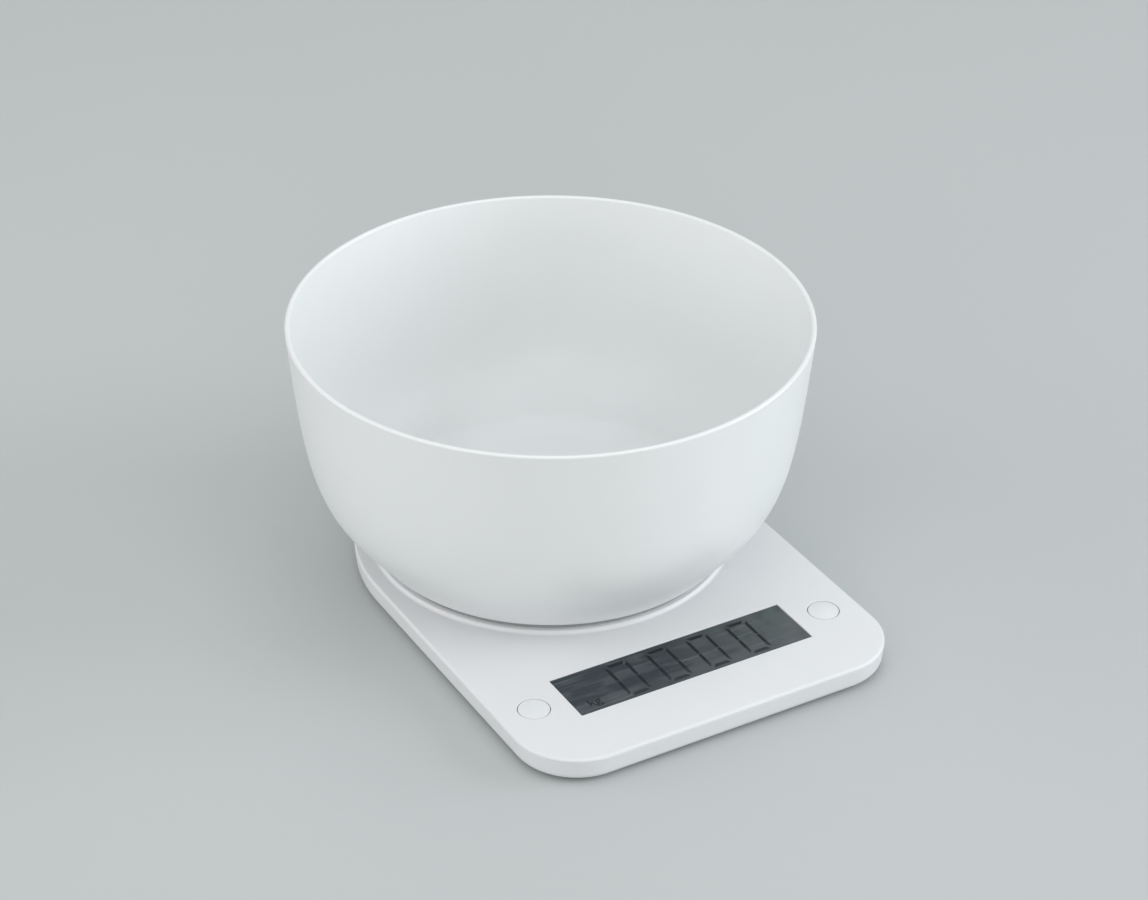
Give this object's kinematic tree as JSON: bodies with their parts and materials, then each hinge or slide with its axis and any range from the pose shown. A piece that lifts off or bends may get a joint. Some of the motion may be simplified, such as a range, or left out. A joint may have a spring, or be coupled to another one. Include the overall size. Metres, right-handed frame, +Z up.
{
  "type": "digital gram scale",
  "caption": "Slim flat digital scale with a round-backed plate body, wide display, push buttons and a deep lift-off bowl standing on a round weighing platform.",
  "frame": {"origin": "on the surface that the feet stand on, at the centre of the whole object's box, between the bowl's back and the plate's front edge", "axes": "+Z up out of the bowl; +Y from the display towards the back, the longest direction; +X to the right as the user faces the display"},
  "size_m": [0.2, 0.2354, 0.1075],
  "materials": {
    "white_shell": "satin white moulded ABS, fine grain",
    "white_bowl": "semi-gloss white moulded plastic",
    "white_button": "satin white moulded plastic",
    "dark_window": "dark tinted acrylic lens",
    "lcd_glass": "dark liquid crystal glass",
    "black_plastic": "black moulded plastic",
    "connector_rubber": "grey silicone strip",
    "green_board": "green solder mask",
    "ceramic": "tan ceramic",
    "nickel": "nickel plate",
    "beam_aluminium": "machined aluminium",
    "steel": "zinc-plated steel",
    "gauge_silicone": "white silicone coat",
    "foot_rubber": "grey rubber",
    "wire_red": "red PVC",
    "wire_black": "black PVC",
    "wire_white": "white PVC",
    "wire_green": "green PVC"
  },
  "bodies": {
    "base": {"battery_contact_negative": "nickel", "battery_contact_positive": "nickel", "battery_wire_black": "wire_black", "battery_wire_red": "wire_red", "board_screw_left": "steel", "board_screw_right": "steel", "circuit_board": "green_board", "coin_cell": "nickel", "controller_chip": "black_plastic", "converter_chip": "black_plastic", "crystal": "nickel", "display_window": "dark_window", "filter_capacitor": "ceramic", "foot_back_left": "foot_rubber", "foot_back_right": "foot_rubber", "foot_front_left": "foot_rubber", "foot_front_right": "foot_rubber", "housing_screw_back_left": "steel", "housing_screw_back_right": "steel", "housing_screw_front_left": "steel", "housing_screw_front_right": "steel", "housing_screw_side_left": "steel", "housing_screw_side_right": "steel", "lcd_frame": "black_plastic", "lcd_panel": "lcd_glass", "load_cell": "beam_aluminium", "load_cell_screw_1": "steel", "load_cell_screw_2": "steel", "load_cell_spacer": "steel", "load_cell_wire_black": "wire_black", "load_cell_wire_green": "wire_green", "load_cell_wire_red": "wire_red", "load_cell_wire_white": "wire_white", "lower_housing": "white_shell", "overload_stop": "steel", "strain_gauge_lower": "gauge_silicone", "strain_gauge_upper": "gauge_silicone", "tact_switch_left": "black_plastic", "tact_switch_right": "black_plastic", "upper_housing": "white_shell", "zebra_connector": "connector_rubber"},
    "platform": {"platform_cover": "white_shell", "platform_stiffener": "steel", "platform_spacer": "steel", "platform_screw_1": "steel", "platform_screw_2": "steel"},
    "bowl": {"bowl": "white_bowl"},
    "button_left_body": {"button_left": "white_button", "switch_actuator_left": "black_plastic"},
    "button_right_body": {"button_right": "white_button", "switch_actuator_right": "black_plastic"},
    "battery_door": {"battery_door": "white_shell"}
  },
  "joints": [
    {"name": "platform_travel", "type": "slide", "parent": "base", "child": "platform", "axis": [0, 0, 1], "range_m": [-0.0004, 0], "stiffness_N_per_m": 122600, "deforming": ["load_cell"]},
    {"name": "bowl_lift", "type": "slide", "parent": "platform", "child": "bowl", "axis": [0, 0, 1], "range_m": [0, 0.12]},
    {"name": "button_left_press", "type": "slide", "parent": "base", "child": "button_left_body", "axis": [0, 0, 1], "range_m": [-0.0004, 0], "stiffness_N_per_m": 4000},
    {"name": "button_right_press", "type": "slide", "parent": "base", "child": "button_right_body", "axis": [0, 0, 1], "range_m": [-0.0004, 0], "stiffness_N_per_m": 4000},
    {"name": "battery_door_turn", "type": "hinge", "parent": "base", "child": "battery_door", "pos_m": [-0.038, 0.00975, 0.0015], "axis": [0, 0, -1], "range_deg": [0, 40]}
  ]
}
